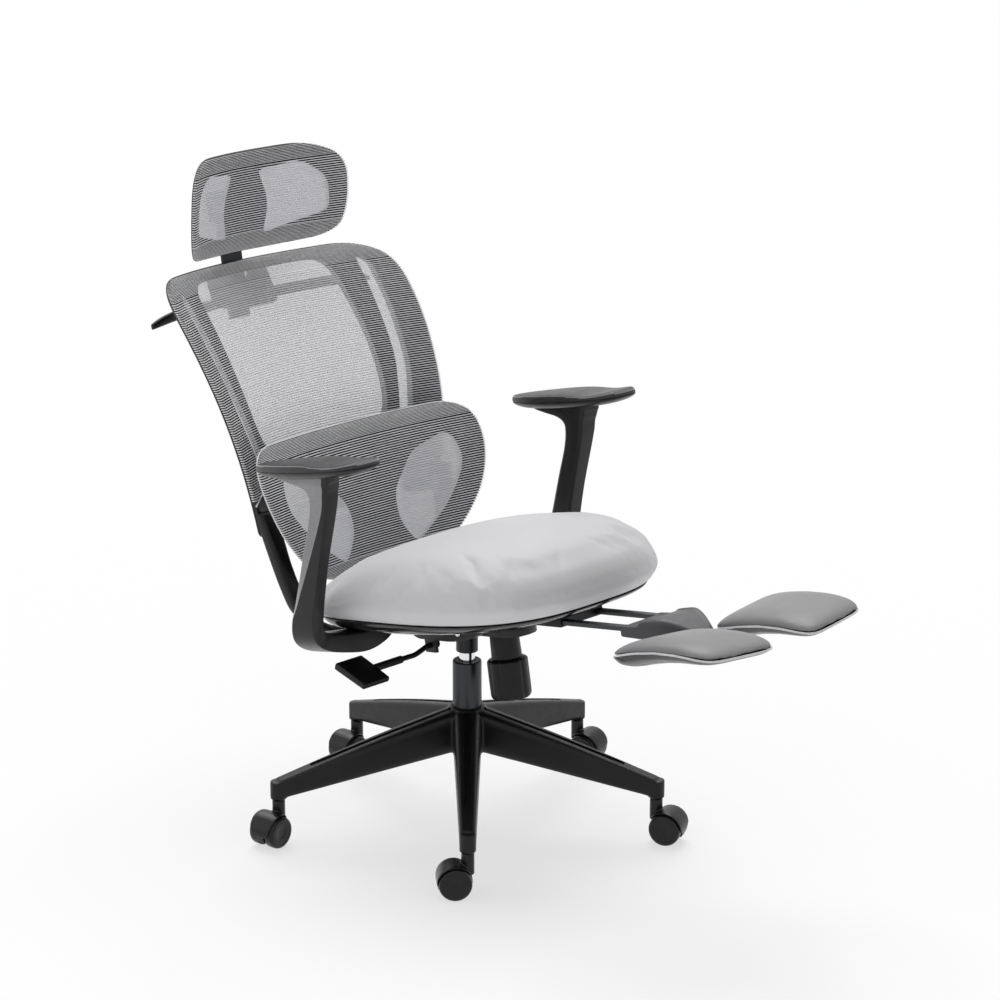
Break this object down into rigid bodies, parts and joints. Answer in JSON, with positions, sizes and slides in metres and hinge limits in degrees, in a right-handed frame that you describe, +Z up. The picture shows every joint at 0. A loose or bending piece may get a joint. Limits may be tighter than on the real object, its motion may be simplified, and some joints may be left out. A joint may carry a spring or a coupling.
{
  "type": "reclining office chair with footrest",
  "caption": "Reclining swivel chair with ribbed mesh back, lumbar pad and headrest, padded seat, fixed arms, pull-out footrest and a star base on casters.",
  "frame": {"origin": "middle of the whole chair's box, on the floor", "axes": "+Z up; the sitter faces -Y; +X is towards the sitter's left hand"},
  "size_m": [0.7274, 1.3624, 1.0979],
  "materials": {
    "nylon": "satin moulded nylon",
    "caster": "satin black wheels",
    "frame": "satin black plastic",
    "pan": "glossy black plastic",
    "arm": "satin graphite plastic",
    "arm_pad": "soft matt skin",
    "black_steel": "powder-coated steel",
    "bright_steel": "polished steel",
    "mesh": "ribbed grey mesh",
    "cushion": "light grey coated fabric over foam",
    "foot_pad": "grey synthetic leather over foam",
    "board": "plywood"
  },
  "bodies": {
    "base": {"base_star": "nylon", "gas_tube": "black_steel"},
    "caster_swivel_1": {"caster_hood_1": "caster"},
    "caster_roll_1": {"caster_wheels_1": "caster"},
    "caster_swivel_2": {"caster_hood_2": "caster"},
    "caster_roll_2": {"caster_wheels_2": "caster"},
    "caster_swivel_3": {"caster_hood_3": "caster"},
    "caster_roll_3": {"caster_wheels_3": "caster"},
    "caster_swivel_4": {"caster_hood_4": "caster"},
    "caster_roll_4": {"caster_wheels_4": "caster"},
    "caster_swivel_5": {"caster_hood_5": "caster"},
    "caster_roll_5": {"caster_wheels_5": "caster"},
    "lift": {"gas_piston": "bright_steel"},
    "column": {"mech_socket": "black_steel", "tilt_axle": "bright_steel"},
    "seat": {"tilt_housing": "black_steel", "knob_collar": "nylon", "tension_spring": "black_steel", "seat_pan": "pan", "seat_board": "board", "seat_cushion": "cushion", "arm_post_left": "arm", "arm_post_right": "arm", "arm_pad_base_left": "arm", "arm_pad_base_right": "arm", "arm_pad_left": "arm_pad", "arm_pad_right": "arm_pad", "recline_pin": "bright_steel", "footrest_track": "black_steel"},
    "knob": {"tension_knob": "nylon"},
    "lever": {"lever_rod": "black_steel", "lever_sleeve": "nylon", "lever_paddle": "nylon"},
    "back": {"back_frame": "frame", "back_mesh": "mesh", "back_yoke": "frame", "yoke_screw_left": "black_steel", "yoke_screw_right": "black_steel", "hanger_bracket": "frame", "coat_hanger": "frame", "lumbar_guide": "frame"},
    "lumbar": {"lumbar_carrier": "frame", "lumbar_frame": "frame", "lumbar_mesh": "mesh"},
    "headrest_slider": {"headrest_post": "black_steel", "headrest_bracket": "frame", "headrest_pin": "bright_steel"},
    "headrest": {"headrest_frame": "frame", "headrest_mesh": "mesh"},
    "footrest": {"footrest_rail_left": "black_steel", "footrest_rail_right": "black_steel", "footrest_end_cap": "pan", "footrest_axle": "bright_steel"},
    "foot_pads": {"foot_shell_left": "pan", "foot_shell_right": "pan", "foot_pad_left": "foot_pad", "foot_pad_right": "foot_pad"}
  },
  "joints": [
    {"name": "caster_turn_1", "type": "hinge", "parent": "base", "child": "caster_swivel_1", "pos_m": [-0.24219, -0.19142, 0.078], "axis": [0, 0, 1], "continuous": true},
    {"name": "wheel_spin_1", "type": "hinge", "parent": "caster_swivel_1", "child": "caster_roll_1", "pos_m": [-0.25929, -0.17758, 0.028], "axis": [-0.6293, -0.7771, 0], "continuous": true},
    {"name": "caster_turn_2", "type": "hinge", "parent": "base", "child": "caster_swivel_2", "pos_m": [0.15186, -0.2468, 0.078], "axis": [0, 0, 1], "continuous": true},
    {"name": "wheel_spin_2", "type": "hinge", "parent": "caster_swivel_2", "child": "caster_roll_2", "pos_m": [0.16046, -0.26705, 0.028], "axis": [0.9205, 0.3907, 0], "continuous": true},
    {"name": "caster_turn_3", "type": "hinge", "parent": "base", "child": "caster_swivel_3", "pos_m": [0.32631, 0.11085, 0.078], "axis": [0, 0, 1], "continuous": true},
    {"name": "wheel_spin_3", "type": "hinge", "parent": "caster_swivel_3", "child": "caster_roll_3", "pos_m": [0.33237, 0.08971, 0.028], "axis": [0.9613, 0.2756, 0], "continuous": true},
    {"name": "caster_turn_4", "type": "hinge", "parent": "base", "child": "caster_swivel_4", "pos_m": [0.04006, 0.38728, 0.078], "axis": [0, 0, 1], "continuous": true},
    {"name": "wheel_spin_4", "type": "hinge", "parent": "caster_swivel_4", "child": "caster_roll_4", "pos_m": [0.01806, 0.3869, 0.028], "axis": [0.0175, -0.9998, 0], "continuous": true},
    {"name": "caster_turn_5", "type": "hinge", "parent": "base", "child": "caster_swivel_5", "pos_m": [-0.31129, 0.20046, 0.078], "axis": [0, 0, 1], "continuous": true},
    {"name": "wheel_spin_5", "type": "hinge", "parent": "caster_swivel_5", "child": "caster_roll_5", "pos_m": [-0.33308, 0.1974, 0.028], "axis": [0.1392, -0.9903, 0], "continuous": true},
    {"name": "gas_lift", "type": "slide", "parent": "base", "child": "lift", "axis": [0, 0, 1], "range_m": [-0.012, 0.09]},
    {"name": "chair_swivel", "type": "hinge", "parent": "lift", "child": "column", "pos_m": [-0.00705, 0.05208, 0.3], "axis": [0, 0, 1], "continuous": true},
    {"name": "seat_tilt", "type": "hinge", "parent": "column", "child": "seat", "pos_m": [-0.00705, 0.01537, 0.36371], "axis": [-1, 0, 0], "range_deg": [-10, 3]},
    {"name": "back_recline", "type": "hinge", "parent": "seat", "child": "back", "pos_m": [-0.00705, 0.12619, 0.34722], "axis": [-1, 0, 0], "range_deg": [-10, 3]},
    {"name": "tension_turn", "type": "hinge", "parent": "seat", "child": "knob", "pos_m": [-0.00705, -0.03914, 0.35403], "axis": [0, 0.1736, 0.9848], "range_deg": [-360, 360]},
    {"name": "lever_lift", "type": "hinge", "parent": "seat", "child": "lever", "pos_m": [-0.06305, 0.08437, 0.32311], "axis": [0, 0.9848, -0.1736], "range_deg": [0, 4], "stiffness_Nm_per_rad": 2},
    {"name": "lumbar_height", "type": "slide", "parent": "back", "child": "lumbar", "axis": [0, 0.1736, 0.9848], "range_m": [-0.015, 0.03]},
    {"name": "headrest_height", "type": "slide", "parent": "back", "child": "headrest_slider", "axis": [0, 0.1736, 0.9848], "range_m": [-0.012, 0.05]},
    {"name": "headrest_tilt", "type": "hinge", "parent": "headrest_slider", "child": "headrest", "pos_m": [-0.00705, 0.64816, 0.99238], "axis": [-1, 0, 0], "range_deg": [-10, 15]},
    {"name": "footrest_slide", "type": "slide", "parent": "seat", "child": "footrest", "axis": [0, 0.9848, -0.1736], "range_m": [0, 0.13]},
    {"name": "footrest_flip", "type": "hinge", "parent": "footrest", "child": "foot_pads", "pos_m": [-0.00705, -0.50235, 0.4682], "axis": [1, 0, 0], "range_deg": [0, 95]}
  ],
  "couplings": [
    {"joint": "back_recline", "follows": "seat_tilt", "ratio": 1}
  ]
}
